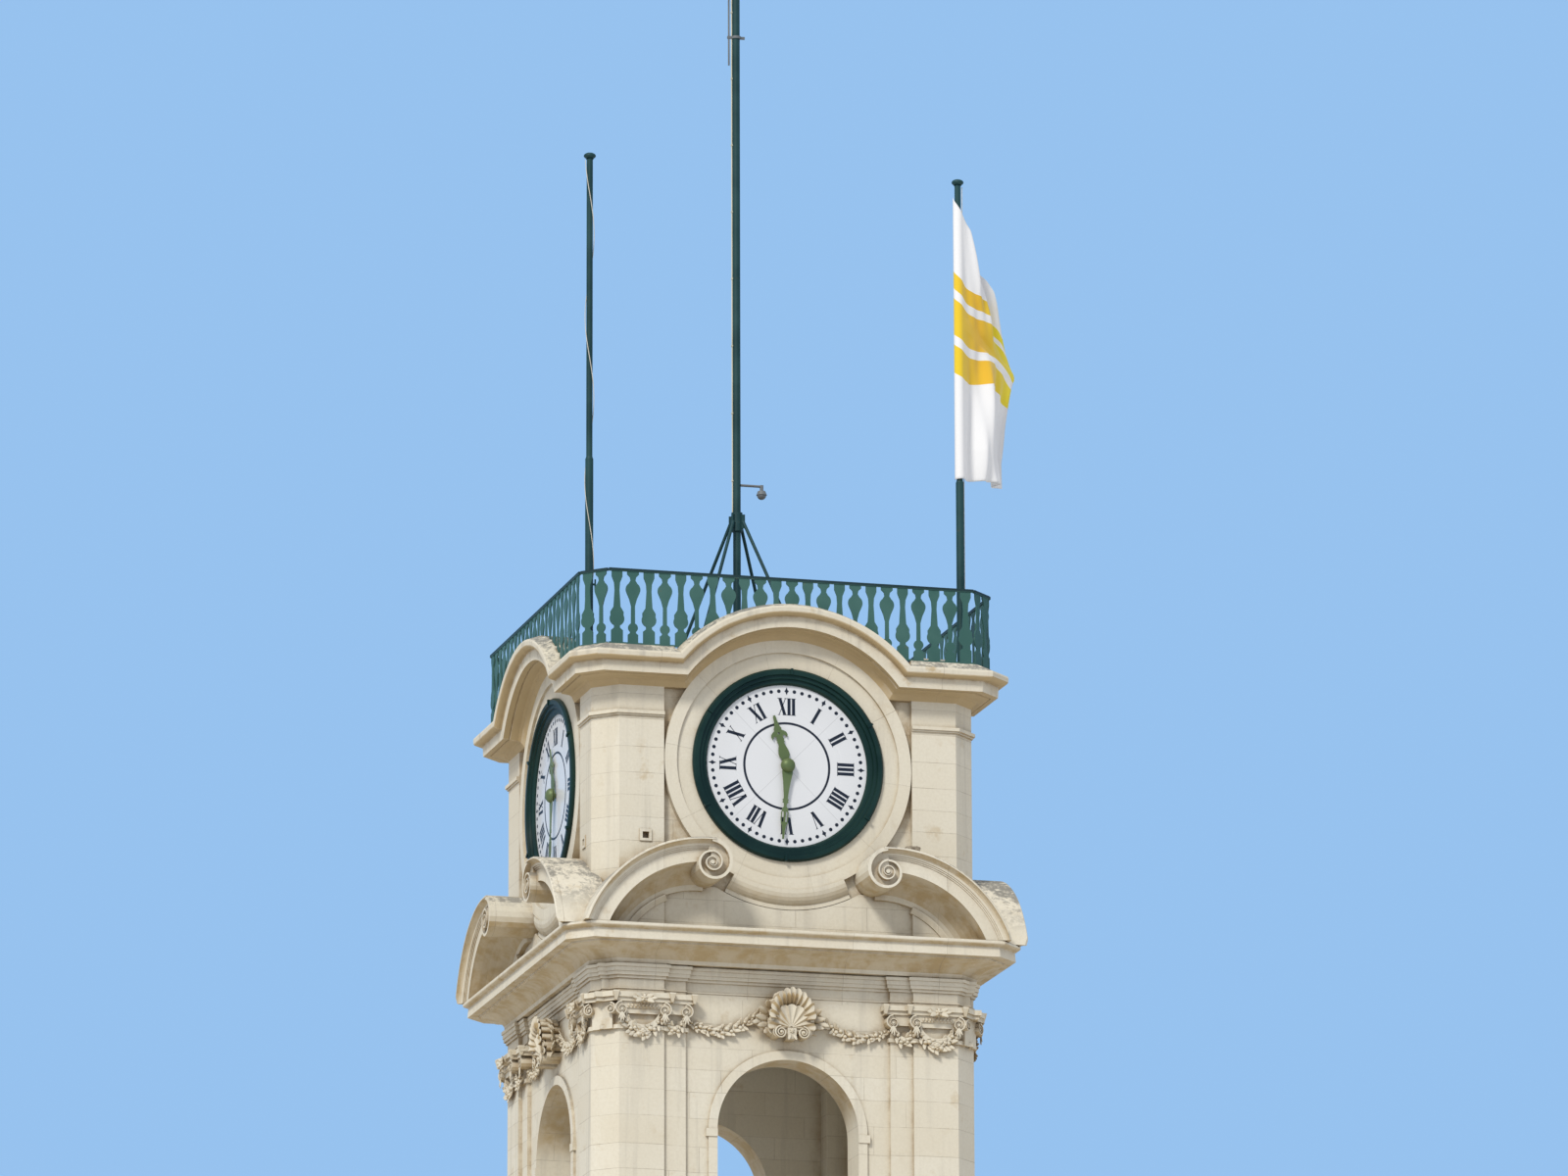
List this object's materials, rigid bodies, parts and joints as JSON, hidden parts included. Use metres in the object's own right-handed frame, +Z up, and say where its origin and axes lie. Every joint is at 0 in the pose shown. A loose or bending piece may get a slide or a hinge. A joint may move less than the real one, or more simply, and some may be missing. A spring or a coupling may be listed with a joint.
{
  "type": "clock tower, 1:2 scale model",
  "caption": "Square stone clock tower with chamfered corners, a dial on each face, broken pediments, an open belfry, a railed terrace and masts.",
  "frame": {"origin": "on the ground under the middle of the tower, on the underside of the ground floor", "axes": "+Z up, -Y out of the front face, which has the door"},
  "size_m": [3.8862, 3.692, 22.03],
  "materials": {
    "pale_stone": "weathered limestone ashlar",
    "paving": "worn stone paving",
    "door_wood": "dark oiled boards",
    "window_wood": "painted, matt",
    "window_glass": "clear",
    "dial_white": "white enamel, satin",
    "dial_green": "dark green paint, satin",
    "hand_green": "olive green patina",
    "rail_green": "green paint, satin",
    "mast_green": "dark green paint, satin",
    "flag_cloth": "thin woven polyester",
    "fitting_grey": "grey paint, satin",
    "conduit_cream": "weathered cream paint",
    "halyard_line": "braided polyester line"
  },
  "bodies": {
    "tower": {"plinth": "pale_stone", "shaft_piers": "pale_stone", "shaft_walls": "pale_stone", "string_courses": "pale_stone", "door_frame": "pale_stone", "door_leaf": "door_wood", "window_frames": "window_wood", "window_panes": "window_glass", "floors": "paving", "shaft_cornice": "pale_stone", "belfry_piers": "pale_stone", "belfry_wall_front": "pale_stone", "belfry_wall_right": "pale_stone", "belfry_wall_back": "pale_stone", "belfry_wall_left": "pale_stone", "belfry_balustrades": "pale_stone", "capitals": "pale_stone", "shell_ornaments": "pale_stone", "entablature": "pale_stone", "main_cornice": "pale_stone", "clock_piers": "pale_stone", "clock_walls": "pale_stone", "pediments": "pale_stone", "dial_surrounds": "pale_stone", "crown_cornice": "pale_stone", "terrace_deck": "paving", "dials": "dial_white", "dial_rings": "dial_green", "railing_front": "rail_green", "railing_right": "rail_green", "railing_back": "rail_green", "railing_left": "rail_green", "railing_corners": "rail_green", "left_flagpole": "mast_green", "right_flagpole": "mast_green", "flag": "flag_cloth", "halyards": "halyard_line", "central_mast": "mast_green", "mast_braces": "mast_green", "mast_conduit": "conduit_cream", "camera": "fitting_grey", "antenna": "fitting_grey", "roof_hatch": "fitting_grey"},
    "front_minute_hand": {"front_minute_hand": "hand_green"},
    "right_minute_hand": {"right_minute_hand": "hand_green"},
    "back_minute_hand": {"back_minute_hand": "hand_green"},
    "left_minute_hand": {"left_minute_hand": "hand_green"},
    "front_hour_hand": {"front_hour_hand": "hand_green"},
    "right_hour_hand": {"right_hour_hand": "hand_green"},
    "back_hour_hand": {"back_hour_hand": "hand_green"},
    "left_hour_hand": {"left_hour_hand": "hand_green"}
  },
  "joints": [
    {"name": "front_minute_hand_turn", "type": "hinge", "parent": "tower", "child": "front_minute_hand", "pos_m": [0, -1.44, 15.3], "axis": [0, 1, 0], "continuous": true},
    {"name": "right_minute_hand_turn", "type": "hinge", "parent": "tower", "child": "right_minute_hand", "pos_m": [1.44, 0, 15.3], "axis": [-1, 0, 0], "continuous": true},
    {"name": "back_minute_hand_turn", "type": "hinge", "parent": "tower", "child": "back_minute_hand", "pos_m": [0, 1.44, 15.3], "axis": [0, -1, 0], "continuous": true},
    {"name": "left_minute_hand_turn", "type": "hinge", "parent": "tower", "child": "left_minute_hand", "pos_m": [-1.44, 0, 15.3], "axis": [1, 0, 0], "continuous": true},
    {"name": "front_hour_hand_turn", "type": "hinge", "parent": "tower", "child": "front_hour_hand", "pos_m": [0, -1.44, 15.3], "axis": [0, 1, 0], "continuous": true},
    {"name": "right_hour_hand_turn", "type": "hinge", "parent": "tower", "child": "right_hour_hand", "pos_m": [1.44, 0, 15.3], "axis": [-1, 0, 0], "continuous": true},
    {"name": "back_hour_hand_turn", "type": "hinge", "parent": "tower", "child": "back_hour_hand", "pos_m": [0, 1.44, 15.3], "axis": [0, -1, 0], "continuous": true},
    {"name": "left_hour_hand_turn", "type": "hinge", "parent": "tower", "child": "left_hour_hand", "pos_m": [-1.44, 0, 15.3], "axis": [1, 0, 0], "continuous": true}
  ],
  "couplings": [
    {"joint": "right_minute_hand_turn", "follows": "front_minute_hand_turn", "ratio": 1},
    {"joint": "back_minute_hand_turn", "follows": "front_minute_hand_turn", "ratio": 1},
    {"joint": "left_minute_hand_turn", "follows": "front_minute_hand_turn", "ratio": 1},
    {"joint": "front_hour_hand_turn", "follows": "front_minute_hand_turn", "ratio": 0.083333},
    {"joint": "right_hour_hand_turn", "follows": "front_minute_hand_turn", "ratio": 0.083333},
    {"joint": "back_hour_hand_turn", "follows": "front_minute_hand_turn", "ratio": 0.083333},
    {"joint": "left_hour_hand_turn", "follows": "front_minute_hand_turn", "ratio": 0.083333}
  ]
}
